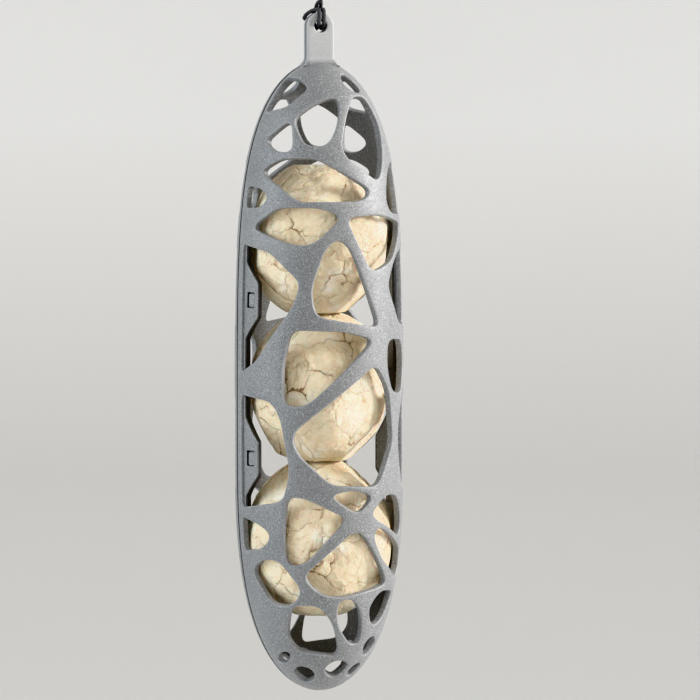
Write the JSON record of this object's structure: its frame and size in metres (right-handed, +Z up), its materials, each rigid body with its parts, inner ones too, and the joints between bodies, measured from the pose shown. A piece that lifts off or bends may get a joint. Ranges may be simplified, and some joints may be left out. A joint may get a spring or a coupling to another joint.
{
  "type": "suet ball feeder",
  "caption": "Hanging bird feeder: two perforated half shells snap together into a long pod round suet balls, and swing open at the corded hanging tab.",
  "frame": {"origin": "middle of the hanging hole through both tabs, in the plane where the halves meet", "axes": "+Z up along the pod's axis, -Y out of the front half, +X to the right as seen from the front"},
  "size_m": [0.077, 0.0772, 0.366],
  "materials": {
    "grey_plastic": "matte, finely speckled grey plastic",
    "suet": "pressed pale fat and seed meal, cracked",
    "black_cord": "braided cord"
  },
  "bodies": {
    "back_half": {"back_shell": "grey_plastic", "back_tongue_upper": "grey_plastic", "back_tongue_lower": "grey_plastic", "ball_lower": "suet", "ball_middle": "suet", "ball_upper": "suet", "hanging_cord": "black_cord", "cord_knot": "black_cord", "hanging_loop": "black_cord"},
    "front_half": {"front_shell": "grey_plastic", "front_tongue_upper": "grey_plastic", "front_tongue_lower": "grey_plastic"}
  },
  "joints": [
    {"name": "front_half_swing", "type": "hinge", "parent": "back_half", "child": "front_half", "pos_m": [0, 0, 0.00625], "axis": [-1, 0, 0], "range_deg": [0, 60], "deforming": ["front_tongue_upper", "front_tongue_lower", "back_tongue_upper", "back_tongue_lower", "hanging_cord"]}
  ]
}
